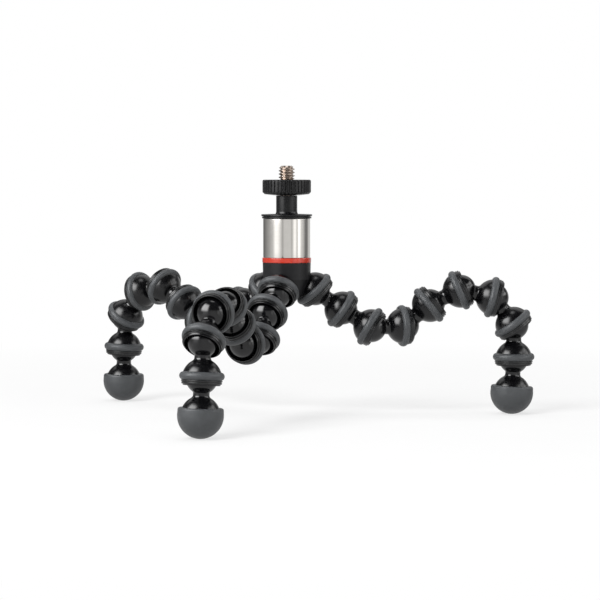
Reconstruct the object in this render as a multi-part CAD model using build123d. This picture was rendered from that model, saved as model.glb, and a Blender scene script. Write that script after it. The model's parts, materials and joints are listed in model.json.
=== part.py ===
from build123d import *
import math
import os

# Flexible leg tripod with a small ball head, in millimetres, +Z up.
# The origin is on the axis of the camera screw, in the plane where a camera sits.
# The floor is seat_height below it, and +X points to the right of the photographed view.

# Heights of the stack, from the camera seat down
seat_height = 92.6
wheel_height = 6.1
stem_length = 6.2
stem_neck_height = 1.2
cap_height = 1.6
accent_height = 1.9

# Camera screw, a quarter inch thread of twenty turns to the inch
thread_radius = 3.175
thread_pitch = 1.27
thread_depth = 0.78
thread_crest_share = 0.125
thread_turns = 4
thread_undercut = 0.1
thread_tip_height = 0.32
screw_collar_width = 1.025
screw_collar_recess = 0.4
screw_collar_height = 3.2
screw_shank_relief = 0.195
screw_head_width = 1.4
screw_head_height = 1.8
running_gap = 0.05

# Thumbwheel under the camera
wheel_radius = 9.5
wheel_chamfer = 1.4
wheel_top_chamfer = 0.35
wheel_rib_count = 38
wheel_rib_gap = 0.72
wheel_rib_depth = 0.45

# Ball stud of the head
stem_wall = 1.3
stem_step = 0.65
stem_chamfer = 0.3
head_ball_radius = 6.5
head_ball_drop = 4.6
head_ball_gap = 0.06

# Top cap, lock barrel, accent ring and the housing inside them
cap_lip_step = 0.3
cap_lip_height = 0.7
cap_groove_height = 0.2
cap_groove_depth = 0.5
cap_lower_step = 0.45
cap_grip_height = 2.4
cap_opening_flare = 1.5
cap_plug_rise = 0.6
barrel_wall = 0.97
barrel_edge = 0.25
accent_step = 0.35
accent_edge = 0.3
housing_wall = 1.0
housing_floor = 3.0
fit_gap = 0.05
barrel_gap = 0.08
face_gap = 0.1

# Seat cup and spring washer under the ball
seat_cup_wall = 0.7
seat_cup_floor = 2.0
washer_space = 2.74
washer_width = 1.95
washer_thickness = 0.8
washer_gap = 0.06

# Base that carries the three legs
base_step = 0.2
base_taper = 0.15
base_straight = 6.5
base_draw = 2.45
base_bottom_edge = 1.2
base_skirt = 2.7
bolt_radius = 2.0
bolt_head_width = 0.9
bolt_head_height = 2.4
nut_wall = 1.8
nut_height = 2.2
bolt_gap = 0.1

# First socket of each leg, held by the base
root_cover = 3.95
root_inset = 4.25
root_slope_angle = -48.0
root_peg_radius = 2.2
root_peg_length = 3.0
arch_clearance = 0.5

# Ball-and-socket link of the legs
neck_run = 0.3
link_ball_radius = 5.85
link_ball_gap = 0.08
link_neck_radius = 3.0
ball_blend = 0.6
dome_blend = 1.3
dome_wall = 1.32
mouth_depth = 2.6
mouth_flare = 0.52
mouth_grip_depth = 0.8

# Rubber grip round each socket
ring_tube_radius = 1.5
ring_stand = 0.95
ring_back = 0.8
lip_wall = 0.25
lip_step = 0.15
lip_groove_depth = 0.3
lip_upper_depth = 1.2
lip_groove_width = 0.2
lip_depth = 2.05
lip_edge = 0.15
bond_gap = 0.02

# Rubber foot and the core that carries it
foot_wall = 1.2
foot_rim_height = 2.8
foot_rim_inset = 0.15
foot_rim_edge = 0.8
foot_core_drop = 2.0

# Photographed pose: slope and heading of each link in degrees, from the hub to the foot
legs = {
    "right": {
        "azimuth": 13,
        "slope_angles": (-35, -31, 2, 40, 25, -14, -54, -90, -87),
        "heading_angles": (9, -9, 14, 3, -3, 0, 2, -5, -169),
    },
    "front": {
        "azimuth": -107,
        "slope_angles": (-33, -44, -4, 35, 34, -6, -46, -85, -87),
        "heading_angles": (-112, -108, -113, -109, -105, -109, -109, -117, -144),
    },
    "left": {
        "azimuth": 133,
        "slope_angles": (-30, -30, -2, 34, 27, -12, -52, -87, -89),
        "heading_angles": (146, 136, 132, 134, 136, 141, 141, 165, 147),
    },
}
settle_angle = 30.0
settle_steps = 40

# Radii and reaches of a leg, worked out from its ball
socket_radius = link_ball_radius + link_ball_gap
dome_radius = socket_radius + dome_wall
mouth_radius = socket_radius + mouth_flare
grip_bore = dome_radius + bond_gap
ring_radius = dome_radius + ring_stand
lip_radius = dome_radius + lip_wall
lip_lower_radius = lip_radius - lip_step
lip_groove_radius = lip_radius - lip_groove_depth
link_pitch = link_ball_radius + dome_radius + neck_run
foot_radius = dome_radius + foot_wall
root_radius = dome_radius + root_inset
root_drop = dome_radius + root_cover
base_height = root_drop + base_skirt

# Radii of the head, worked out from its ball and from the screw
head_socket_radius = head_ball_radius + head_ball_gap
housing_bore = head_ball_radius + seat_cup_wall
housing_radius = housing_bore + housing_wall
barrel_radius = housing_radius + barrel_gap + barrel_wall
accent_radius = barrel_radius + accent_step
cap_lower_radius = barrel_radius + cap_lower_step
cap_radius = cap_lower_radius + cap_lip_step
cap_opening_radius = head_ball_radius + cap_opening_flare
base_top_radius = barrel_radius + base_step
base_bottom_radius = base_top_radius - base_draw
thread_root_radius = thread_radius - thread_depth
screw_collar_radius = thread_radius + screw_collar_width
screw_shank_radius = thread_root_radius - screw_shank_relief
screw_head_radius = screw_shank_radius + screw_head_width
stem_neck_radius = screw_shank_radius + stem_wall
stem_radius = stem_neck_radius + stem_step
bolt_head_radius = bolt_radius + bolt_head_width
nut_radius = bolt_radius + nut_wall

# Levels worked out from the stack
wheel_bottom = -wheel_height
stem_bottom = wheel_bottom - stem_length
cap_top = stem_bottom - stem_neck_height
barrel_top = cap_top - cap_height
head_ball_level = cap_top - head_ball_drop
seat_bottom = head_ball_level - head_socket_radius - seat_cup_floor
housing_floor_top = seat_bottom - washer_space
base_top = housing_floor_top - housing_floor
accent_top = base_top + accent_height
base_bottom = base_top - base_height
floor_level = -seat_height


def arc(centre, radius, start, end):
    """Arc in the XZ plane about a centre, from one angle to another in degrees."""
    angles = [math.radians(a) for a in (start, (start + end) / 2, end)]
    points = [
        (centre[0] + radius * math.cos(a), 0, centre[1] + radius * math.sin(a))
        for a in angles
    ]
    return ThreePointArc(*points)


def lines(*points):
    """Straight outline through points that are given as radius and height."""
    places = [(r, 0, z) for r, z in points]
    return [Line(a, b) for a, b in zip(places, places[1:])]


def spin(edges):
    """Solid of revolution about Z from a closed outline of edges."""
    return revolve(make_face(edges), Axis.Z)


def disc(radius, bottom, top):
    """Straight round bar between two heights."""
    return Pos(0, 0, bottom) * Cylinder(radius, top - bottom, align=(Align.CENTER, Align.CENTER, Align.MIN))


def chord(radius, distance):
    """Half the width of a circle at a distance from its centre."""
    return math.sqrt(radius * radius - distance * distance)


def direction(slope, heading):
    """Unit vector at a slope above the horizontal and a heading from +X, both in degrees."""
    flat = math.cos(math.radians(slope))
    turn = math.radians(heading)
    return Vector(flat * math.cos(turn), flat * math.sin(turn), math.sin(math.radians(slope)))


def root_centre(leg):
    """Centre of the fixed socket where a leg starts."""
    out = direction(0, leg["azimuth"]) * root_radius
    return Vector(out.X, out.Y, base_top - root_drop)


def leg_chain(leg, tilt):
    """Ball centre and direction of every link of a leg, with a common tilt added to the slopes."""
    centre = root_centre(leg)
    chain = []
    for slope, heading in zip(leg["slope_angles"], leg["heading_angles"]):
        axis = direction(slope + tilt, heading)
        chain.append((centre, axis))
        centre = centre + axis * link_pitch
    return chain


def foot_height(leg, tilt):
    """Height of the lowest point of a leg's foot above the floor."""
    centre, axis = leg_chain(leg, tilt)[-1]
    return (centre + axis * link_pitch).Z - foot_radius - floor_level


def settled_chain(leg):
    """Chain of a leg, tilted as a whole until its foot stands on the floor."""
    low, high = -settle_angle, settle_angle
    for _ in range(settle_steps):
        middle = (low + high) / 2
        if foot_height(leg, middle) > 0:
            high = middle
        else:
            low = middle
    return leg_chain(leg, high)


def placed(shape, centre, axis):
    """Shape moved so that its own origin and Z axis lie at a centre and along a direction."""
    return Plane(origin=centre, z_dir=axis).location * shape


def neck_blend(radius, blend):
    """Distance from a sphere's centre, and angle there, of a blend between sphere and neck."""
    reach = link_neck_radius + blend
    along = chord(radius + blend, reach)
    return along, math.degrees(math.atan2(along, reach))


def ball_and_neck(dome, level, end):
    """Outline from the pole of the ball, along the neck, over a dome at a level to an angle above its widest point."""
    ball_along, ball_angle = neck_blend(link_ball_radius, ball_blend)
    dome_along, dome_angle = neck_blend(dome, dome_blend)
    dome_start = level - dome_along
    ball_centre = (link_neck_radius + ball_blend, ball_along)
    dome_centre = (link_neck_radius + dome_blend, dome_start)
    edges = [
        arc((0, 0), link_ball_radius, -90, ball_angle),
        arc(ball_centre, ball_blend, 180 + ball_angle, 180),
    ]
    edges += lines((link_neck_radius, ball_along), (link_neck_radius, dome_start))
    edges.append(arc(dome_centre, dome_blend, 180, 180 - dome_angle))
    edges.append(arc((0, level), dome, -dome_angle, end))
    return edges


def mouth_angle():
    """Angle above the widest point of a dome where its mouth cuts it off."""
    return math.degrees(math.asin(mouth_depth / dome_radius))


def socket_wall(level):
    """Outline from the edge of the mouth to the deepest point of the socket."""
    grip_angle = math.degrees(math.asin(mouth_grip_depth / socket_radius))
    edges = lines(
        (chord(dome_radius, mouth_depth), level + mouth_depth),
        (mouth_radius, level + mouth_depth),
        (chord(socket_radius, mouth_grip_depth), level + mouth_grip_depth),
    )
    edges.append(arc((0, level), socket_radius, grip_angle, -90))
    return edges


def link_shell():
    """Hard shell of a link: ball, neck, and dome with the socket for the next ball."""
    edges = ball_and_neck(dome_radius, link_pitch, mouth_angle()) + socket_wall(link_pitch)
    edges += lines((0, link_pitch - socket_radius), (0, -link_ball_radius))
    return spin(edges)


def root_shell():
    """Hard shell of a leg's first socket: a dome with a peg that enters the base."""
    peg_end = -dome_radius - root_peg_length
    peg_start = -chord(dome_radius, root_peg_radius)
    peg_angle = math.degrees(math.atan2(peg_start, root_peg_radius))
    edges = lines((0, peg_end), (root_peg_radius, peg_end), (root_peg_radius, peg_start))
    edges.append(arc((0, 0), dome_radius, peg_angle, mouth_angle()))
    edges += socket_wall(0)
    edges += lines((0, -socket_radius), (0, peg_end))
    return spin(edges)


def grip(level):
    """Rubber ring with a grooved lip, moulded round the dome whose centre is at a level."""
    ring = Pos(ring_radius - ring_tube_radius, level - ring_back) * Circle(ring_tube_radius)
    groove_end = lip_upper_depth + lip_groove_width
    lip = make_face(
        Polyline(
            (0, level),
            (lip_radius, level),
            (lip_radius, level + lip_upper_depth),
            (lip_groove_radius, level + lip_upper_depth),
            (lip_groove_radius, level + groove_end),
            (lip_lower_radius, level + groove_end),
            (lip_lower_radius, level + lip_depth - lip_edge),
            (lip_lower_radius - lip_edge, level + lip_depth),
            (0, level + lip_depth),
            close=True,
        )
    )
    outline = (ring + lip) - Pos(0, level) * Circle(grip_bore)
    return revolve(Plane.XZ * outline, Axis.Z)


def foot_link():
    """Last link of a leg: ball, neck, and a round core that the rubber foot wraps."""
    edges = ball_and_neck(dome_radius, link_pitch, 0)
    core_end = link_pitch + foot_core_drop
    edges += lines((dome_radius, link_pitch), (dome_radius, core_end), (0, core_end), (0, -link_ball_radius))
    return spin(edges)


def foot_cap():
    """Rubber foot: a half ball with a short wall, hollow for the core of the link."""
    rim = link_pitch - foot_rim_height
    rim_radius = foot_radius - foot_rim_inset
    corner = (rim_radius - foot_rim_edge, rim + foot_rim_edge)
    edges = [arc((0, link_pitch), foot_radius, 90, 0)]
    edges += lines((foot_radius, link_pitch), (rim_radius, corner[1]))
    edges.append(arc(corner, foot_rim_edge, 0, -90))
    edges += lines((corner[0], rim), (0, rim), (0, link_pitch + foot_radius))
    core_depth = foot_core_drop + bond_gap
    hollow = Pos(0, 0, link_pitch) * Sphere(grip_bore) - disc(grip_bore, link_pitch, link_pitch + grip_bore)
    return spin(edges) - hollow - disc(grip_bore, link_pitch, link_pitch + core_depth)


def thread_outline():
    """Outline of the screw's thread as parallel ridges of the real pitch, from the collar to the tip."""
    crest = thread_pitch * thread_crest_share
    flank = thread_depth / math.sqrt(3)
    points = [(thread_root_radius, -screw_collar_recess), (thread_root_radius, thread_undercut)]
    level = thread_undercut
    for _ in range(thread_turns):
        points.append((thread_radius, level + flank))
        points.append((thread_radius, level + flank + crest))
        points.append((thread_root_radius, level + 2 * flank + crest))
        level += thread_pitch
        points.append((thread_root_radius, level))
    points.append((thread_root_radius - thread_tip_height, level + thread_tip_height))
    return points


def camera_screw():
    """Quarter inch screw with a collar in the wheel and a long shank held by its head in the ball."""
    head_top = head_ball_level + screw_head_height / 2
    head_bottom = head_top - screw_head_height
    ridges = thread_outline()
    points = [
        (0, head_bottom),
        (screw_head_radius, head_bottom),
        (screw_head_radius, head_top),
        (screw_shank_radius, head_top),
        (screw_shank_radius, -screw_collar_height),
        (screw_collar_radius, -screw_collar_height),
        (screw_collar_radius, -screw_collar_recess),
    ]
    return spin(lines(*points, *ridges, (0, ridges[-1][1]), (0, head_bottom)))


def thumbwheel():
    """Ribbed wheel that turns the camera screw."""
    body = spin(
        lines(
            (screw_shank_radius, wheel_bottom),
            (wheel_radius - wheel_chamfer, wheel_bottom),
            (wheel_radius, wheel_bottom + wheel_chamfer),
            (wheel_radius, -wheel_top_chamfer),
            (wheel_radius - wheel_top_chamfer, 0),
            (screw_collar_radius, 0),
            (screw_collar_radius, -screw_collar_height),
            (screw_shank_radius, -screw_collar_height),
            (screw_shank_radius, wheel_bottom),
        )
    )
    rib_height = wheel_height - wheel_chamfer
    from_top = (Align.CENTER, Align.CENTER, Align.MAX)
    groove = Box(2 * wheel_rib_depth, wheel_rib_gap, rib_height, align=from_top)
    for index in range(wheel_rib_count):
        turn = 360 / wheel_rib_count * index
        body -= Rot(0, 0, turn) * Pos(wheel_radius, 0, 0) * groove
    return body


def ball_stud():
    """Ball and stem of the head, bored for the screw and counterbored for its head from below."""
    top = wheel_bottom - face_gap
    neck_along = chord(head_ball_radius, stem_neck_radius)
    neck_angle = math.degrees(math.atan2(neck_along, stem_neck_radius))
    edges = [arc((0, head_ball_level), head_ball_radius, -90, neck_angle)]
    edges += lines(
        (stem_neck_radius, head_ball_level + neck_along),
        (stem_neck_radius, stem_bottom),
        (stem_radius - stem_chamfer, stem_bottom),
        (stem_radius, stem_bottom + stem_chamfer),
        (stem_radius, top - stem_chamfer),
        (stem_radius - stem_chamfer, top),
        (0, top),
        (0, head_ball_level - head_ball_radius),
    )
    head_top = head_ball_level + screw_head_height / 2 + face_gap
    counterbore = disc(screw_head_radius + face_gap, head_ball_level - head_ball_radius, head_top)
    bore = disc(screw_shank_radius + running_gap, head_ball_level, top)
    return spin(edges) - bore - counterbore


def top_cap():
    """Cap over the ball, with two thin lips, an opening that flares and a plug inside the housing."""
    plug_radius = housing_bore - fit_gap
    lip_bottom = cap_top - cap_lip_height
    groove_bottom = lip_bottom - cap_groove_height
    groove_radius = cap_lower_radius - cap_groove_depth
    plug_bottom = head_ball_level + cap_plug_rise
    grip_level = head_ball_level + cap_grip_height
    grip_angle = math.degrees(math.asin(cap_grip_height / head_socket_radius))
    low_angle = math.degrees(math.asin((plug_bottom - head_ball_level) / head_socket_radius))
    edges = lines(
        (chord(head_socket_radius, plug_bottom - head_ball_level), plug_bottom),
        (plug_radius, plug_bottom),
        (plug_radius, barrel_top),
        (cap_lower_radius, barrel_top),
        (cap_lower_radius, groove_bottom),
        (groove_radius, groove_bottom),
        (groove_radius, lip_bottom),
        (cap_radius, lip_bottom),
        (cap_radius, cap_top),
        (cap_opening_radius, cap_top),
        (chord(head_socket_radius, cap_grip_height), grip_level),
    )
    edges.append(arc((0, head_ball_level), head_socket_radius, grip_angle, low_angle))
    return spin(edges)


def steel_barrel():
    """Smooth steel sleeve that turns round the housing."""
    bottom, top = accent_top + face_gap, barrel_top - face_gap
    bore = housing_radius + barrel_gap
    return spin(
        lines(
            (bore, bottom),
            (barrel_radius - barrel_edge, bottom),
            (barrel_radius, bottom + barrel_edge),
            (barrel_radius, top - barrel_edge),
            (barrel_radius - barrel_edge, top),
            (bore, top),
            (bore, bottom),
        )
    )


def accent_ring():
    """Coloured ring between the sleeve and the base."""
    bore = housing_radius + fit_gap
    return spin(
        lines(
            (bore, base_top),
            (accent_radius - accent_edge, base_top),
            (accent_radius, base_top + accent_edge),
            (accent_radius, accent_top - accent_edge),
            (accent_radius - accent_edge, accent_top),
            (bore, accent_top),
            (bore, base_top),
        )
    )


def head_housing():
    """Fixed inner tube of the head with a bored floor that the centre bolt clamps to the base."""
    body = disc(housing_radius, base_top, barrel_top) - disc(housing_bore, housing_floor_top, barrel_top)
    return body - disc(bolt_radius + bolt_gap, base_top, housing_floor_top)


def ball_seat():
    """Cup under the ball that turns with it in the housing."""
    cup = disc(housing_bore - fit_gap, seat_bottom, head_ball_level - face_gap)
    return cup - Pos(0, 0, head_ball_level) * Sphere(head_socket_radius)


def spring_washer():
    """Coned washer between the housing floor and the seat cup."""
    outer = housing_bore - fit_gap
    inner = outer - washer_width
    low = housing_floor_top
    high = seat_bottom - washer_gap
    return spin(
        lines(
            (outer - washer_thickness, low),
            (outer, low),
            (outer, low + washer_thickness),
            (inner + washer_thickness, high),
            (inner, high),
            (inner, high - washer_thickness),
            (outer - washer_thickness, low),
        )
    )


def centre_bolt():
    """Bolt from below the base up into the housing."""
    top = housing_floor_top + nut_height
    head = disc(bolt_head_radius, base_bottom, base_bottom + bolt_head_height)
    return head + disc(bolt_radius, base_bottom, top)


def centre_nut():
    """Hexagon nut on the bolt inside the housing."""
    blank = Pos(0, 0, housing_floor_top) * extrude(RegularPolygon(nut_radius, 6), nut_height)
    return blank - disc(bolt_radius + bond_gap, housing_floor_top, housing_floor_top + nut_height)


def arch_cutter(leg):
    """Room in the base for a leg's first socket: its dome, its peg and its grip ring."""
    ring_start = -ring_back - ring_tube_radius - arch_clearance
    room = Sphere(dome_radius + bond_gap)
    room += disc(root_peg_radius + bond_gap, -dome_radius - root_peg_length - bond_gap, 0)
    room += disc(ring_radius + arch_clearance, ring_start, base_height)
    return placed(room, root_centre(leg), direction(root_slope_angle, leg["azimuth"]))


def base_body():
    """Moulded base with an arch for each leg and fingers between them."""
    side_radius = base_top_radius - base_taper
    knee = base_top - base_straight
    body = spin(
        lines(
            (0, base_bottom),
            (base_bottom_radius - base_bottom_edge, base_bottom),
            (base_bottom_radius, base_bottom + base_bottom_edge),
            (side_radius, knee),
            (base_top_radius, base_top),
            (0, base_top),
            (0, base_bottom),
        )
    )
    for leg in legs.values():
        body -= arch_cutter(leg)
    body -= disc(bolt_radius + bolt_gap, base_bottom, base_top)
    return body - disc(bolt_head_radius + bolt_gap, base_bottom, base_bottom + bolt_head_height)


def hub_nodes():
    """Every piece of the head and the base."""
    return {
        "camera_screw": camera_screw(),
        "thumbwheel": thumbwheel(),
        "ball_stud": ball_stud(),
        "top_cap": top_cap(),
        "steel_barrel": steel_barrel(),
        "accent_ring": accent_ring(),
        "head_housing": head_housing(),
        "ball_seat": ball_seat(),
        "spring_washer": spring_washer(),
        "centre_bolt": centre_bolt(),
        "centre_nut": centre_nut(),
        "base_body": base_body(),
    }


def leg_nodes(name, leg):
    """Every piece of one leg: first socket and its grip, ringed links, foot link and foot."""
    root_axis = direction(root_slope_angle, leg["azimuth"])
    nodes = {
        f"{name}_root_socket": placed(root_shell(), root_centre(leg), root_axis),
        f"{name}_root_grip": placed(grip(0), root_centre(leg), root_axis),
    }
    chain = settled_chain(leg)
    shell, ring = link_shell(), grip(link_pitch)
    for index, (centre, axis) in enumerate(chain[:-1], start=1):
        pieces = [placed(shell, centre, axis), placed(ring, centre, axis)]
        nodes[f"{name}_link_{index}"] = Compound(children=pieces)
    centre, axis = chain[-1]
    nodes[f"{name}_foot_link"] = placed(foot_link(), centre, axis)
    nodes[f"{name}_foot_cap"] = placed(foot_cap(), centre, axis)
    return nodes


def main():
    os.makedirs("parts", exist_ok=True)
    nodes = hub_nodes()
    for name, leg in legs.items():
        nodes.update(leg_nodes(name, leg))
    for name, shape in nodes.items():
        export_step(shape, f"parts/{name}.step")
    print(f"{len(nodes)} nodes written")


main()
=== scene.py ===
# %% [markdown]
# # Flexible leg tripod
# A mini tripod has a small ball head with a camera screw, and three legs made of
# ball-and-socket links. Each leg bends at nine balls, so nearly every piece is a
# surface of revolution: a profile turned about its own axis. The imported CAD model
# gives every place, and the pieces here are worked out in numpy around it.

# %% The frame
import json
import math

import bmesh
import bpy
import numpy as np
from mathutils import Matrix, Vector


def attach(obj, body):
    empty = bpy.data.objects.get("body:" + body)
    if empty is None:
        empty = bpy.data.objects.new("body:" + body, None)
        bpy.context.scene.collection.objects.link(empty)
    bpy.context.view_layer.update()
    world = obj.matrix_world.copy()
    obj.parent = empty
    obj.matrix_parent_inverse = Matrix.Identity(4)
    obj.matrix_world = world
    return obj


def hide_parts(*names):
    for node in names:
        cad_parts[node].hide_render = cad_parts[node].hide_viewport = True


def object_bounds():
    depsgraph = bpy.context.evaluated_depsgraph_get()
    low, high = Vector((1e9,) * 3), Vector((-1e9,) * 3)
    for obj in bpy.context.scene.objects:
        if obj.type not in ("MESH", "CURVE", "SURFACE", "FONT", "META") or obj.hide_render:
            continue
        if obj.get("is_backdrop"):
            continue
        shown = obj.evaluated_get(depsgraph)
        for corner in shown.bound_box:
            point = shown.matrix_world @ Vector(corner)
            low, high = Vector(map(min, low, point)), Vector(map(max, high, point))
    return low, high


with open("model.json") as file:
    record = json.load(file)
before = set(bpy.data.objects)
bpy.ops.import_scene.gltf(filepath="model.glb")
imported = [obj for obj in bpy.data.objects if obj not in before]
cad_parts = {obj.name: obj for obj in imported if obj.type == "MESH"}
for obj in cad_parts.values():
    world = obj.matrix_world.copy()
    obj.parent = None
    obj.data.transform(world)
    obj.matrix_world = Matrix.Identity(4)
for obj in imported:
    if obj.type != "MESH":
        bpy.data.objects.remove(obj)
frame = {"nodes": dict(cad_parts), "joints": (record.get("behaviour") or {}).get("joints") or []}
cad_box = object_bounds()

mm = 0.001
scene = bpy.context.scene
scene.view_settings.view_transform = "Standard"
print("CAD box in mm:", [np.round(np.array(corner) / mm, 1).tolist() for corner in cad_box])

# %% [markdown]
# The photograph was taken from a metre away, a little above the floor, with a long
# lens, so the legs keep nearly their true proportions. The camera stands in front,
# on the side of negative Y, and looks slightly down.

# %% Camera
sensor_width, focal_length = 36, 153
camera_place, looks_down = (5.2, -1000, 6.1), 3.05
camera_data = bpy.data.cameras.new("camera")
camera_data.sensor_width = sensor_width
camera_data.lens = focal_length
camera = bpy.data.objects.new("camera", camera_data)
camera.location = np.array(camera_place) * mm
camera.rotation_euler = (math.radians(90 - looks_down), 0, 0)
scene.collection.objects.link(camera)
scene.camera = camera
print("lens", focal_length, "mm")

# %% [markdown]
# A finish is a Principled shader fed by what varies over the surface. Shader maths
# could be drawn node by node, but plain Python sums are easier to read, so a small
# class wraps a socket, and adding or multiplying it makes the Math node.


# %% Sockets that can be added and multiplied
class Level:
    """A number, colour or vector that varies over a surface."""

    def __init__(self, finish, socket):
        self.finish = finish
        self.socket = socket

    def math(self, operation, *values, clamp=False):
        settings = {"operation": operation, "use_clamp": clamp}
        return self.finish.add("ShaderNodeMath", settings, dict(enumerate(values)))

    def __add__(self, other):
        return self.math("ADD", self, other)

    def __sub__(self, other):
        return self.math("SUBTRACT", self, other)

    def __rsub__(self, other):
        return self.math("SUBTRACT", other, self)

    def __mul__(self, other):
        return self.math("MULTIPLY", self, other)

    __radd__ = __add__
    __rmul__ = __mul__

    def step(self, edge, width):
        """0 below the edge and 1 above it, with a ramp of that width between."""
        return self.math("MULTIPLY_ADD", self, 1 / width, 0.5 - edge / width, clamp=True)


# %% Finishes
def shade(red, green, blue):
    """Colour of a 0 to 255 screen value as light: ((c + 0.055) / 1.055) to the power 2.4."""
    screen = np.array([red, green, blue]) / 255
    return (*((screen + 0.055) / 1.055) ** 2.4, 1.0)


class Finish:
    """A material with fixed values on its shader and nodes for what varies."""

    def __init__(self, name, **fixed):
        self.name = name
        self.material = bpy.data.materials.new(name)
        self.material.use_nodes = True
        self.tree = self.material.node_tree
        self.shader = self.tree.nodes["Principled BSDF"]
        for socket, value in fixed.items():
            self.shader.inputs[socket.replace("_", " ")].default_value = value

    def add(self, kind, settings=None, sockets=None, output=0):
        node = self.tree.nodes.new(kind)
        for name, value in (settings or {}).items():
            setattr(node, name, value)
        for name, value in (sockets or {}).items():
            self.put(node.inputs[name], value)
        return Level(self, node.outputs[output])

    def put(self, socket, value):
        if isinstance(value, Level):
            self.tree.links.new(value.socket, socket)
        else:
            socket.default_value = value

    def grain(self, size, detail=2.0, stretch=(1, 1, 1)):
        """Noise from 0 to 1 with lumps of a size in mm, stretched along X, Y and Z."""
        place = self.add("ShaderNodeTexCoord", output="Object")
        scale = [1 / (size * mm * share) for share in stretch]
        place = self.add("ShaderNodeMapping", None, {"Vector": place, "Scale": scale})
        sockets = {"Vector": place, "Scale": 1.0, "Detail": detail}
        return self.add("ShaderNodeTexNoise", None, sockets)

    def blend(self, share, low, high):
        """Colour that goes from low to high as share goes from 0 to 1."""
        settings = {"data_type": "RGBA"}
        return self.add("ShaderNodeMix", settings, {0: share, 6: low, 7: high}, 2)

    def feed(self, colour, roughness, height=None, depth=0.01):
        """Links what varies; height is a relief, depth millimetres from 0 to 1."""
        self.put(self.shader.inputs["Base Color"], colour)
        self.put(self.shader.inputs["Roughness"], roughness)
        if height is not None:
            sockets = {"Height": height, "Distance": depth * mm}
            relief = self.add("ShaderNodeBump", None, sockets)
            self.put(self.shader.inputs["Normal"], relief)


# %% [markdown]
# The hard shells are black plastic: polished on the balls and their necks, satin with
# a little dust on the domes, and slightly wavy from moulding. The grips are slate-grey
# rubber: matt, faintly mottled, with a fine grain. The lip at each mouth is the same
# rubber rubbed darker and smoother.

# %% Plastic and rubber of the legs
gloss_black = Finish("gloss_black")
gloss_black.feed(
    gloss_black.blend(gloss_black.grain(1.4, 3), shade(6, 6, 8), shade(13, 13, 15)),
    0.1 + 0.05 * gloss_black.grain(2.0, 3),
    gloss_black.grain(2.4, 1),
    0.006,
)

satin_black = Finish("satin_black", Specular_IOR_Level=0.42)
dust = satin_black.grain(0.6, 4).step(0.7, 0.12)
wave = satin_black.grain(2.4, 1)
satin_black.feed(
    satin_black.blend(dust * 0.2, shade(7, 7, 9), shade(40, 41, 44)),
    0.2 + 0.06 * satin_black.grain(3.0) + 0.06 * dust,
    wave + 0.02 * satin_black.grain(0.25),
    0.003,
)

grip_rubber = Finish("grip_rubber", Specular_IOR_Level=0.45)
speck = grip_rubber.grain(0.22, 3)
cloud = grip_rubber.grain(3.5, 3)
grip_rubber.feed(
    grip_rubber.blend(0.6 * cloud + 0.4 * speck, shade(50, 52, 54), shade(78, 80, 82)),
    0.42 + 0.12 * cloud,
    speck + 0.6 * grip_rubber.grain(0.6),
    0.004,
)

lip_rubber = Finish("lip_rubber", Specular_IOR_Level=0.5)
rub = lip_rubber.grain(1.1, 3)
lip_rubber.feed(
    lip_rubber.blend(rub, shade(11, 11, 12), shade(24, 25, 26)),
    0.2 + 0.08 * rub,
    lip_rubber.grain(0.3, 3),
    0.004,
)
print("leg finishes:", [f.material.name for f in (gloss_black, satin_black, grip_rubber, lip_rubber)])

# %% [markdown]
# The head is turned metal. Turning leaves fine rings, so its grain is stretched far
# along X and Y and short along Z. The steel barrel is bare and bright, the stem, cap
# and wheel are anodised black, and the base is charcoal plastic with a sparked grain.

# %% Metals and plastics of the head
turned_stretch = (60, 60, 1)

barrel_steel = Finish("barrel_steel", Metallic=1.0)
ring_grain = barrel_steel.grain(0.16, 3, turned_stretch)
haze = barrel_steel.grain(4.0, 3)
barrel_steel.feed(
    barrel_steel.blend(0.5 * ring_grain + 0.5 * haze, shade(203, 200, 195), shade(227, 224, 219)),
    0.06 + 0.04 * ring_grain + 0.03 * haze,
    ring_grain,
    0.0012,
)

head_black = Finish("head_black", Specular_IOR_Level=0.3)
ring_grain = head_black.grain(0.2, 3, turned_stretch)
head_black.feed(
    head_black.blend(head_black.grain(1.6, 3), shade(9, 9, 10), shade(17, 17, 19)),
    0.22 + 0.08 * ring_grain,
    ring_grain,
    0.004,
)

wheel_black = Finish("wheel_black", Specular_IOR_Level=0.37)
worn = wheel_black.grain(0.7, 4).step(0.66, 0.14)
wheel_black.feed(
    wheel_black.blend(worn * 0.4, shade(9, 9, 10), shade(54, 54, 56)),
    0.27 + 0.12 * wheel_black.grain(0.5, 3),
    wheel_black.grain(0.25, 3),
    0.006,
)

base_charcoal = Finish("base_charcoal", Specular_IOR_Level=0.26)
spark = base_charcoal.grain(0.28, 4)
base_charcoal.feed(
    base_charcoal.blend(base_charcoal.grain(2.0, 3), shade(14, 14, 15), shade(24, 24, 26)),
    0.3 + 0.1 * spark,
    spark,
    0.02,
)

accent_red = Finish("accent_red", Specular_IOR_Level=0.7)
tint = accent_red.grain(1.2, 3)
accent_red.feed(
    accent_red.blend(tint, shade(190, 40, 16), shade(208, 54, 24)),
    0.12 + 0.06 * tint,
    accent_red.grain(0.3, 3),
    0.003,
)

screw_steel = Finish("screw_steel", Metallic=1.0)
ring_grain = screw_steel.grain(0.12, 3, turned_stretch)
screw_steel.feed(
    screw_steel.blend(screw_steel.grain(0.5, 3), shade(156, 143, 133), shade(200, 187, 177)),
    0.22 + 0.08 * ring_grain,
    ring_grain,
    0.002,
)

bolt_steel = Finish("bolt_steel", Metallic=1.0)
spangle = bolt_steel.grain(0.9, 3)
bolt_steel.feed(
    bolt_steel.blend(spangle, shade(160, 160, 163), shade(198, 198, 200)),
    0.3 + 0.16 * spangle,
    bolt_steel.grain(0.3, 3),
    0.006,
)

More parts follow.
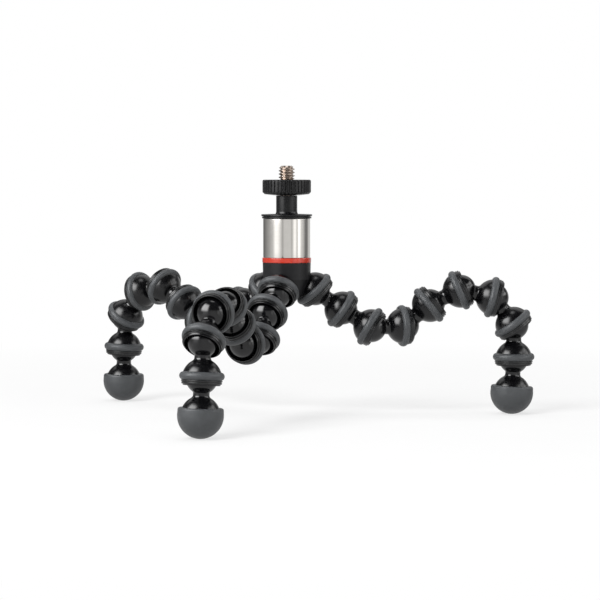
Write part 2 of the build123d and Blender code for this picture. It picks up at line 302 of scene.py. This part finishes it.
inner_plastic = Finish("inner_plastic")
flow = inner_plastic.grain(2.2, 3)
inner_plastic.feed(
    inner_plastic.blend(flow, shade(84, 84, 86), shade(100, 100, 102)),
    0.42 + 0.12 * flow,
    inner_plastic.grain(0.4, 3),
    0.012,
)
print("head finishes: 8")

# %% [markdown]
# A turned piece is a profile of radius and height. Its corners could be left sharp
# and bevelled afterwards, but rounding them in the profile costs nothing and keeps
# the rings even. The grid of points is then carried round the axis in one sum.


# %% Profiles
def arc(centre, radius, start, end, count=14):
    """Points centre + radius (cos t, sin t), with t from start to end in degrees."""
    turn = np.radians(np.linspace(start, end, count))
    return np.array(centre) + radius * np.stack([np.cos(turn), np.sin(turn)], axis=1)


def eased(*corners, count=6):
    """Rounds corners (radius, height, cut): each becomes the curve
    (1 - s)^2 a + 2 s (1 - s) p + s^2 b, from a to b, which lie cut away along the sides."""
    points = np.array(corners, float)
    place, cut = points[:, :2], points[:, 2:]
    towards_last = np.roll(place, 1, axis=0) - place
    towards_next = np.roll(place, -1, axis=0) - place
    last = place + cut * towards_last / np.linalg.norm(towards_last, axis=1)[:, None]
    following = place + cut * towards_next / np.linalg.norm(towards_next, axis=1)[:, None]
    s = np.linspace(0, 1, count)[None, :, None]
    curve = (1 - s) ** 2 * last[:, None] + 2 * s * (1 - s) * place[:, None] + s**2 * following[:, None]
    rounded = [c if r > 0 else c[:1] for c, r in zip(curve, cut[:, 0])]
    return np.concatenate(rounded)


def carried(radius, height, centre=(0, 0, 0), axis=(0, 0, 1), steps=96):
    """Grid of points centre + radius (cos t side + sin t across) + height axis."""
    axis = np.array(axis, float) / np.linalg.norm(axis)
    helper = (1.0, 0, 0) if abs(axis[2]) > 0.9 else (0, 0, 1.0)
    side = np.cross(axis, helper)
    side /= np.linalg.norm(side)
    turn = np.arange(steps) * 2 * math.pi / steps
    around = np.cos(turn)[:, None] * side + np.sin(turn)[:, None] * np.cross(axis, side)
    radius = np.reshape(radius, (len(radius), -1, 1))
    height = np.reshape(height, (len(height), -1, 1))
    return np.array(centre) + (radius * around + height * axis) * mm


# %% Pieces from grids
def make_mesh(name, grid, ring=False):
    """Joins neighbours of a grid by quads, with the last column beside the first, and
    in a ring the last row beside the first."""
    rows, steps = grid.shape[:2]
    index = np.arange(rows * steps).reshape(rows, steps)
    if ring:
        index = np.vstack([index, index[:1]])
    low, high = index[:-1], index[1:]
    quads = np.stack([low, np.roll(low, -1, 1), np.roll(high, -1, 1), high], axis=-1)
    mesh = bpy.data.meshes.new(name)
    mesh.from_pydata(grid.reshape(-1, 3).tolist(), [], quads.reshape(-1, 4).tolist())
    return mesh


def make_piece(name, grid, finishes, body, node, bands=0, ring=False):
    """Makes a finished piece of a grid; bands gives each row's finish."""
    mesh = make_mesh(name, grid, ring)
    for finish in finishes:
        mesh.materials.append(finish.material)
    steps = grid.shape[1]
    row_finish = np.broadcast_to(bands, len(mesh.polygons) // steps).repeat(steps).astype(np.int32)
    mesh.polygons.foreach_set("material_index", row_finish)
    return finish_piece(name, mesh, body, node)


def finish_piece(name, mesh, body, node):
    """Closes seams and poles, turns faces outwards, shades smooth, and ties it to the CAD."""
    shell = bmesh.new()
    shell.from_mesh(mesh)
    bmesh.ops.remove_doubles(shell, verts=shell.verts, dist=0.002 * mm)
    bmesh.ops.recalc_face_normals(shell, faces=shell.faces)
    shell.to_mesh(mesh)
    shell.free()
    mesh.polygons.foreach_set("use_smooth", np.ones(len(mesh.polygons), bool))
    mesh.set_sharp_from_angle(angle=math.radians(38))
    piece = bpy.data.objects.new(name, mesh)
    scene.collection.objects.link(piece)
    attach(piece, body)
    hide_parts(node)
    return piece


# %% [markdown]
# The camera screw is a quarter inch thread of twenty turns to the inch. In the CAD it
# is parallel ridges; here it is the real helix. The radius falls away from the crest
# by the distance from it, measured after taking a turn's share of the pitch from the
# height, so the crest climbs one pitch in each turn.

# %% Camera screw
thread_radius, thread_depth, thread_pitch = 3.175, 0.78, 1.27
screw_steps = 96
screw_top, thread_start = 5.5, -0.4
below = eased(
    (0, -19.0, 0), (3.6, -19.0, 0.25), (3.6, -17.2, 0.25), (2.2, -17.2, 0),
    (2.2, -3.2, 0), (4.2, -3.2, 0), (4.2, thread_start, 0.15),
)
rise = np.linspace(thread_start, screw_top, 130)[:, None]
turn_share = np.arange(screw_steps)[None, :] / screw_steps
off_crest = np.abs((rise / thread_pitch - turn_share) % 1 - 0.5) * thread_pitch
crest = thread_pitch / 16
thread = thread_radius - np.clip((off_crest - crest) * math.sqrt(3), 0, thread_depth)
root = thread_radius - thread_depth
run_in = root + np.clip(rise - 0.05, 0, None) * 2.2
tip = 2.05 + (screw_top - rise) * 1.1
thread = np.minimum(np.minimum(thread, run_in), tip)
radius = np.vstack([np.repeat(below[:, :1], screw_steps, 1), thread, np.zeros((1, screw_steps))])
height = np.concatenate([below[:, 1], rise[:, 0], [screw_top]])
screw_grid = carried(radius, height, steps=screw_steps)
screw = make_piece("camera_screw_thread", screw_grid, [screw_steel], "camera_wheel", "camera_screw")
print("screw faces", len(screw.data.polygons))

# %% [markdown]
# The thumbwheel is a disc with 38 ribs. Cutting 38 slots would work, but a radius that
# depends on the angle gives the same ribs with rounded flanks: the groove is the share
# of its depth that is left at a distance from the groove's middle.

# %% Thumbwheel
rib_count, wheel_radius, groove_depth, groove_half, flank = 38, 9.5, 0.5, 0.36, 0.24
steps_per_rib = 16
wheel_steps = rib_count * steps_per_rib
outline = eased(
    (2.2, -6.1, 0), (4.6, -6.1, 0.2), (8.7, -5.65, 0.25), (9.5, -4.85, 0.2), (9.5, -3.0, 0),
    (9.5, -1.6, 0), (9.5, -0.35, 0.12), (9.15, 0, 0.12), (7.4, 0, 0.05), (7.25, -0.12, 0.05),
    (5.2, -0.12, 0.05), (5.05, 0, 0.05), (4.22, 0, 0.05), (4.22, -3.2, 0), (2.2, -3.2, 0),
)
rib_place = np.arange(wheel_steps) / steps_per_rib
off_groove = np.abs((rib_place + 0.5) % 1 - 0.5) * 2 * math.pi * wheel_radius / rib_count
groove = np.clip((groove_half + flank / 2 - off_groove) / flank, 0, 1)
groove = groove_depth * groove**2 * (3 - 2 * groove)
radius = np.minimum(outline[:, :1], (wheel_radius - groove)[None, :])
wheel_grid = carried(radius, outline[:, 1], steps=wheel_steps)
wheel = make_piece("ribbed_wheel", wheel_grid, [wheel_black], "camera_wheel", "thumbwheel", ring=True)
print("wheel faces", len(wheel.data.polygons))

# %% [markdown]
# Stem and ball are one turned piece. The ball shows as a narrow collar above the cap.

# %% Ball stud
ball_level, ball_radius = -18.1, 6.5
stem = eased(
    (4.43, -13.35, 0), (4.15, -12.6, 0.2), (4.15, -6.2, 0.25), (2.25, -6.2, 0),
    (2.25, -17.1, 0), (3.7, -17.1, 0),
    (3.7, -23.4, 0),
)
stud_ball = arc((0, ball_level), ball_radius, -54, 47, 30)
stud_outline = np.concatenate([stud_ball, stem[1:-1]])
stud_grid = carried(stud_outline[:, 0], stud_outline[:, 1])
stud = make_piece("stem_and_ball", stud_grid, [head_black], "head_tilt", "ball_stud", ring=True)
print("stud faces", len(stud.data.polygons))

# %% [markdown]
# The cap closes the housing over the ball with two thin lips and a fine groove between
# them, and its opening flares so that the stem can lean.

# %% Top cap
ball_play = 0.06
cap_outline = np.concatenate(
    [
        eased(
            (6.5, -17.5, 0), (7.15, -17.5, 0.1), (7.15, -15.1, 0), (9.7, -15.1, 0.08),
            (9.7, -14.4, 0.08), (9.2, -14.4, 0.05), (9.2, -14.2, 0.05), (10.0, -14.2, 0.12),
            (10.0, -13.5, 0.3), (8.0, -13.5, 0.3), (6.15, -15.6, 0.1),
        )[1:],
        arc((0, ball_level), ball_radius + ball_play, 21, 6, 6),
    ]
)
cap_grid = carried(cap_outline[:, 0], cap_outline[:, 1], steps=128)
cap = make_piece("cap_with_lips", cap_grid, [head_black], "hub", "top_cap", ring=True)
print("cap faces", len(cap.data.polygons))

# %% [markdown]
# The barrel is a plain bright sleeve, and the red ring below it stands out a little.
# Both are narrow rings, so their whole profile is one closed outline.

# %% Barrel and accent ring
barrel_steps = 160
barrel_outline = eased((8.28, -30.4, 0.1), (9.25, -30.4, 0.12), (9.25, -15.2, 0.12), (8.28, -15.2, 0.1))
barrel_grid = carried(barrel_outline[:, 0], barrel_outline[:, 1], steps=barrel_steps)
barrel = make_piece("bright_barrel", barrel_grid, [barrel_steel], "lock_barrel", "steel_barrel", ring=True)
accent_outline = eased((8.25, -32.4, 0.1), (9.6, -32.4, 0.28), (9.6, -30.5, 0.28), (8.25, -30.5, 0.1))
accent_grid = carried(accent_outline[:, 0], accent_outline[:, 1], steps=barrel_steps)
accent = make_piece("red_ring", accent_grid, [accent_red], "hub", "accent_ring", ring=True)
print("barrel and ring faces", len(barrel.data.polygons), len(accent.data.polygons))

# %% [markdown]
# The legs. A joint's place is the centre of its ball, so each link runs from one joint
# to the next. The first socket and the foot have one joint only, and their own middle
# lies on their axis, which gives their direction.


# %% Places of the links
leg_names = ("right", "front", "left")
joint_place = {joint["name"]: np.array(joint["pos_m"]) for joint in frame["joints"]}


def middle_of(node):
    """Middle of a CAD node's surface: the mean of its triangles' middles, weighted by area."""
    mesh = frame["nodes"][node].data
    mesh.calc_loop_triangles()
    corner = np.empty(len(mesh.vertices) * 3)
    mesh.vertices.foreach_get("co", corner)
    triangle = np.empty(len(mesh.loop_triangles) * 3, np.int32)
    mesh.loop_triangles.foreach_get("vertices", triangle)
    points = corner.reshape(-1, 3)[triangle.reshape(-1, 3)]
    area = np.linalg.norm(np.cross(points[:, 1] - points[:, 0], points[:, 2] - points[:, 0]), axis=1)
    return (points.mean(1) * area[:, None]).sum(0) / area.sum()


def leg_balls(leg):
    """Centres of a leg's nine balls."""
    return [joint_place[f"{leg}_joint_{count}"] for count in range(1, 10)]


print("link pitch in mm:", round(float(np.linalg.norm(np.subtract(*leg_balls("right")[:2]))) / mm, 3))

# %% [markdown]
# A link's shell starts at the pole of its ball, follows the ball, runs down a waist and
# out over the dome. Blends with their own radius join waist and spheres: their centre
# lies where a circle of that radius touches both. From the widest point of the dome the
# outline goes round the mouth and down into the socket.


# %% Shell of a link
ball, dome, waist, ball_blend, dome_blend, socket, mouth = 5.85, 7.25, 3.0, 0.6, 1.3, 5.93, 2.6
pitch, dome_edge = 13.4, 2.35


def ball_to_dome(reach, dome, end):
    """Outline from the ball's pole over a dome, whose middle lies reach above the ball's,
    to an angle above its widest point."""
    ball_rise = math.sqrt((ball + ball_blend) ** 2 - (waist + ball_blend) ** 2)
    dome_drop = math.sqrt((dome + dome_blend) ** 2 - (waist + dome_blend) ** 2)
    ball_turn = math.degrees(math.atan2(ball_rise, waist + ball_blend))
    dome_turn = math.degrees(math.atan2(dome_drop, waist + dome_blend))
    return np.concatenate(
        [
            arc((0, 0), ball, -90, ball_turn, 26),
            arc((waist + ball_blend, ball_rise), ball_blend, 180 + ball_turn, 180, 6),
            arc((waist + dome_blend, reach - dome_drop), dome_blend, 180, 180 - dome_turn, 9),
            arc((0, reach), dome, -dome_turn, end, 22),
        ]
    )


def mouth_and_socket(level):
    """Outline from the dome's edge round the mouth to the socket's pole."""
    rim = eased(
        (6.86, level + dome_edge, 0), (6.77, level + mouth, 0.12), (6.45, level + mouth, 0.1),
        (5.876, level + 0.8, 0),
    )
    return np.concatenate([rim[1:-1], arc((0, level), socket, 7.7, -90, 22)])


mouth_turn = math.degrees(math.asin(dome_edge / dome))
shell_outline = np.concatenate([ball_to_dome(pitch, dome, mouth_turn), mouth_and_socket(pitch)])
first_dome_row = 40
dome_rows = np.arange(len(shell_outline) - 1) >= first_dome_row
print("shell outline points", len(shell_outline))

# %% [markdown]
# The grip is rubber moulded round the socket: a round band that stands out, and next to
# it a thin lip with a fine groove, up to the mouth. Band and lip could be two pieces;
# one outline with two finishes keeps the seam between them closed.

# %% Grip round a socket
band_radius, band_half, band_back, bore = 6.7, 1.5, 0.8, 7.27
band_outline = arc((band_radius, -band_back), band_half, -80, 58, 30)
lip_outline = eased(
    (7.7, 0.5, 0), (7.3, 0.56, 0.05), (7.3, 0.72, 0.05), (7.5, 0.74, 0.06), (7.5, 1.2, 0.08),
    (7.2, 1.22, 0.03), (7.2, 1.4, 0.03), (7.35, 1.42, 0.06), (7.35, 2.05, 0.16), (6.98, 2.05, 0.04),
)[1:]
back_wall = arc((0, 0), bore, 16.4, -19, 8)
grip_outline = np.concatenate([band_outline, lip_outline, back_wall])
band_rows = np.arange(len(grip_outline)) >= len(band_outline) + 3
print("grip outline points", len(grip_outline))

# %% Links and grips
for leg in leg_names:
    balls = leg_balls(leg)
    for count, (here, there) in enumerate(zip(balls, balls[1:]), start=1):
        node = f"{leg}_link_{count}"
        shell = carried(shell_outline[:, 0], shell_outline[:, 1], here, there - here)
        make_piece(f"{node}_shell", shell, [gloss_black, satin_black], node, node, bands=dome_rows)
        grip = carried(grip_outline[:, 0], grip_outline[:, 1], there, there - here)
        make_piece(f"{node}_grip", grip, [grip_rubber, lip_rubber], node, node, bands=band_rows, ring=True)
print("links", len(leg_names) * (len(balls) - 1))

# %% [markdown]
# The first socket of a leg is a dome with a peg that enters the base.

# %% First sockets
peg = eased((0, -10.25, 0), (2.2, -10.25, 0.2), (2.2, -6.91, 0))
root_outline = np.concatenate([peg[:-1], arc((0, 0), dome, -72.3, mouth_turn, 28), mouth_and_socket(0)])
for leg in leg_names:
    centre = leg_balls(leg)[0]
    axis = centre - middle_of(f"{leg}_root_socket")
    shell = carried(root_outline[:, 0], root_outline[:, 1], centre, axis)
    make_piece(f"{leg}_root_shell", shell, [satin_black], "hub", f"{leg}_root_socket")
    grip = carried(grip_outline[:, 0], grip_outline[:, 1], centre, axis)
    rubber = [grip_rubber, lip_rubber]
    make_piece(f"{leg}_root_band", grip, rubber, "hub", f"{leg}_root_grip", bands=band_rows, ring=True)
print("first sockets", len(leg_names))

# %% [markdown]
# The foot is a half ball of rubber over a core as wide as the other domes. Its top edge
# is well rounded, and the black dome comes out of it.

# %% Feet
foot_radius, foot_rim, core_drop, bond = 8.45, 2.8, 2.0, 0.02
core_end = [[dome, pitch + core_drop], [0, pitch + core_drop]]
core_outline = np.concatenate([ball_to_dome(pitch, dome, 0), core_end])
foot_outline = np.concatenate(
    [
        arc((0, pitch), foot_radius, 90, 0, 30),
        eased(
            (foot_radius, pitch, 0), (8.3, pitch - foot_rim, 0.85), (6.75, pitch - foot_rim, 0.15),
            (6.72, pitch - 2.6, 0), count=9,
        )[1:-1],
        arc((0, pitch), dome + bond, -20.5, 0, 8),
        [[dome + bond, pitch + core_drop + bond], [0, pitch + core_drop + bond]],
    ]
)
for leg in leg_names:
    centre = leg_balls(leg)[-1]
    axis = middle_of(f"{leg}_foot_cap") - centre
    core = carried(core_outline[:, 0], core_outline[:, 1], centre, axis)
    body, core_rows = f"{leg}_foot", dome_rows[: len(core) - 1]
    plastic = [gloss_black, satin_black]
    make_piece(f"{leg}_foot_shell", core, plastic, body, f"{leg}_foot_link", bands=core_rows)
    cap = carried(foot_outline[:, 0], foot_outline[:, 1], centre, axis)
    make_piece(f"{leg}_rubber_foot", cap, [grip_rubber], body, f"{leg}_foot_cap")
print("feet", len(leg_names))

# %% [markdown]
# The base and the pieces inside the head have the right shape in the CAD, so they keep
# it and get their finish in their own material slots.

# %% Kept CAD pieces
kept = {
    "base_body": base_charcoal,
    "head_housing": inner_plastic,
    "ball_seat": inner_plastic,
    "spring_washer": bolt_steel,
    "centre_bolt": bolt_steel,
    "centre_nut": bolt_steel,
}
for node, finish in kept.items():
    for place in frame["nodes"][node].material_slots:
        place.material = finish.material
print("kept:", ", ".join(kept))

# %% [markdown]
# The tripod stands on a white floor that runs into a white background. Seen directly
# the floor is mostly its own white, which keeps a faint part of the real shadow near
# the feet and fades to pure white further out; to all other light it is matt paint.


# %% Floor and background
direct_ways = ("Is Camera Ray", "Is Glossy Ray", "Is Transmission Ray")


def seen_directly(finish):
    """1 for camera, glossy and transmission rays, else 0."""
    ways = [finish.add("ShaderNodeLightPath", output=name) for name in direct_ways]
    return (ways[0] + ways[1] + ways[2]).step(0.5, 0.5)


floor_paint = Finish("floor_paint")
glow = floor_paint.add("ShaderNodeEmission", None, {"Color": (1, 1, 1, 1), "Strength": 1.0})
chalk = floor_paint.grain(40, 2)
paint = floor_paint.blend(chalk, (0.78, 0.78, 0.78, 1), (0.82, 0.82, 0.82, 1))
matt = floor_paint.add("ShaderNodeBsdfDiffuse", None, {"Color": paint})
place = floor_paint.add("ShaderNodeTexCoord", output="Object")
away = floor_paint.add("ShaderNodeVectorMath", {"operation": "LENGTH"}, {0: place}, "Value")
white_share = (0.7 + 0.3 * away.step(0.3, 0.24)) * seen_directly(floor_paint)
mixed = floor_paint.add("ShaderNodeMixShader", None, {0: white_share, 1: matt, 2: glow})
output = floor_paint.tree.nodes["Material Output"]
floor_paint.put(output.inputs["Surface"], mixed)
floor_mesh = bpy.data.meshes.new("floor")
reach, level = 4.0, cad_box[0][2]
floor_corners = [(x * reach, y * reach, level) for x, y in ((-1, -1), (1, -1), (1, 1), (-1, 1))]
floor_mesh.from_pydata(floor_corners, [], [(0, 1, 2, 3)])
floor_mesh.materials.append(floor_paint.material)
floor = bpy.data.objects.new("floor", floor_mesh)
scene.collection.objects.link(floor)
floor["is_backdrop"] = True

world = bpy.data.worlds.new("studio")
scene.world = world
world.use_nodes = True
sky = world.node_tree
path = sky.nodes.new("ShaderNodeLightPath")
dim = sky.nodes["Background"]
dim.inputs["Color"].default_value = (1, 1, 1, 1)
dim.inputs["Strength"].default_value = 0.22
white = sky.nodes.new("ShaderNodeBackground")
white.inputs["Color"].default_value = (1, 1, 1, 1)
white.inputs["Strength"].default_value = 1.0
either = sky.nodes.new("ShaderNodeMath")
either.operation = "ADD"
any_way = sky.nodes.new("ShaderNodeMath")
any_way.operation = "ADD"
any_way.use_clamp = True
chosen = sky.nodes.new("ShaderNodeMixShader")
sky.links.new(path.outputs["Is Camera Ray"], either.inputs[0])
sky.links.new(path.outputs["Is Glossy Ray"], either.inputs[1])
sky.links.new(either.outputs[0], any_way.inputs[0])
sky.links.new(path.outputs["Is Transmission Ray"], any_way.inputs[1])
sky.links.new(any_way.outputs[0], chosen.inputs[0])
sky.links.new(dim.outputs[0], chosen.inputs[1])
sky.links.new(white.outputs[0], chosen.inputs[2])
sky.links.new(chosen.outputs[0], sky.nodes["World Output"].inputs["Surface"])
print("floor level in mm:", round(level / mm, 2))

# %% [markdown]
# Black gloss and bright steel are drawn by what they reflect. A studio hangs grey cloth
# and white boards round the object. Here a closed shell that only reflections see takes
# their place: each of its points has a brightness, worked out from its azimuth, counted
# from the camera's side and positive to the right, and its elevation.


# %% Surroundings seen by reflections
def soft_window(azimuth, elevation, middle, half, edge):
    """1 inside a window of azimuth and elevation, with a ramp of edge degrees round it."""
    across = np.clip((half[0] - np.abs(azimuth - middle[0])) / edge + 0.5, 0, 1)
    up = np.clip((half[1] - np.abs(elevation - middle[1])) / edge + 0.5, 0, 1)
    return across * up


left_boards = {-180: 0.08, -150: 0.1, -128: 0.2, -95: 0.42, -70: 0.7, -57: 1.45, -43: 1.4, -30: 0.85}
front_boards = {-20: 0.45, -12: 0.72, 18: 0.74, 26: 0.5, 37: 1.4, 44: 1.4, 52: 0.6, 60: 1.7, 66: 1.6}
right_boards = {76: 0.8, 88: 0.62, 103: 0.16, 118: 0.16, 136: 0.7, 160: 0.6, 180: 0.4}
board_light = {**left_boards, **front_boards, **right_boards}
cloth_turn = np.radians(np.concatenate([np.linspace(-8.2, 30, 40), np.linspace(33, 90, 20)]))
cloth_reach, cloth_foot = 640, level / mm + 0.3
cloth_radius = np.concatenate([[0], cloth_reach * np.cos(cloth_turn)])
cloth_height = np.concatenate([[cloth_foot], np.maximum(cloth_reach * np.sin(cloth_turn), cloth_foot)])
cloth_grid = carried(cloth_radius, cloth_height, steps=240)
azimuth = np.degrees(np.arctan2(cloth_grid[..., 0], -cloth_grid[..., 1]))
elevation = np.degrees(np.arcsin(np.clip(cloth_grid[..., 2] / (cloth_reach * mm), -1, 1)))
boards = np.interp(azimuth, list(board_light), list(board_light.values()))
boards = boards * np.clip((18 - elevation) / 12, 0, 1)
left_window = 10 * soft_window(azimuth, elevation, (-57, 28), (25, 19), 13)
pane_bars = soft_window(azimuth, elevation, (72, 30), (2, 60), 3)
pane_bars = pane_bars + soft_window(azimuth, elevation, (80, 20), (60, 1.5), 3)
right_window = 3.2 * soft_window(azimuth, elevation, (80, 21), (30, 14), 6) * np.clip(1 - pane_bars, 0.2, 1)
top_window = 3 * np.clip((elevation - 76) / 6, 0, 1)
behind = 0.6 * soft_window(np.abs(azimuth), elevation, (180, 5), (16, 14), 6)
behind = behind + 0.9 * soft_window(np.abs(azimuth), elevation, (180, 42), (60, 18), 10)
brightness = 0.06 + boards + left_window + right_window + top_window + behind
brightness[0] = 0.8
cloth = make_mesh("grey_cloth", cloth_grid)
cloth.attributes.new("light", "FLOAT", "POINT").data.foreach_set("value", brightness.ravel())
cloth_light = Finish("cloth_light")
light = cloth_light.add("ShaderNodeAttribute", {"attribute_name": "light"}, None, "Color")
lit = cloth_light.add("ShaderNodeEmission", None, {"Color": light, "Strength": 1.0})
cloth_light.put(cloth_light.tree.nodes["Material Output"].inputs["Surface"], lit)
cloth.materials.append(cloth_light.material)
surroundings = bpy.data.objects.new("grey_cloth", cloth)
surroundings.visible_camera = surroundings.visible_diffuse = surroundings.visible_shadow = False
surroundings.visible_transmission = surroundings.visible_volume_scatter = False
scene.collection.objects.link(surroundings)
surroundings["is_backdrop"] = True
print("brightness of the surroundings:", np.round([brightness.min(), brightness.max()], 2).tolist())

# %% [markdown]
# One large soft lamp high on the left, a weaker one on the right and one above give
# light without hard shadows.


# %% Lamps
lit_middle = (0, 0, -0.04)


def lamp(name, place, size, power):
    """Square area lamp that faces the middle of the object."""
    light = bpy.data.lights.new(name, "AREA")
    light.size = size
    light.energy = power
    source = bpy.data.objects.new(name, light)
    aim = np.array(lit_middle) - place
    source.location = place
    from_below = math.atan2(math.hypot(aim[0], aim[1]), -aim[2])
    source.rotation_euler = (from_below, 0, math.atan2(aim[1], aim[0]) - math.pi / 2)
    source.visible_glossy = False
    scene.collection.objects.link(source)


lamp("key", (-0.7, -0.9, 0.9), 0.6, 19)
lamp("fill", (0.9, -0.8, 0.5), 0.8, 3)
lamp("top", (0.0, 0.2, 1.3), 1.0, 9)
print("lamps: 3")

# %% Measures
model_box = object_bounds()
boxes = {"cad": cad_box, "model": model_box}
boxes = {name: [list(map(float, corner)) for corner in box] for name, box in boxes.items()}
print("model box in mm:", [np.round(np.array(corner) / mm, 1).tolist() for corner in model_box])
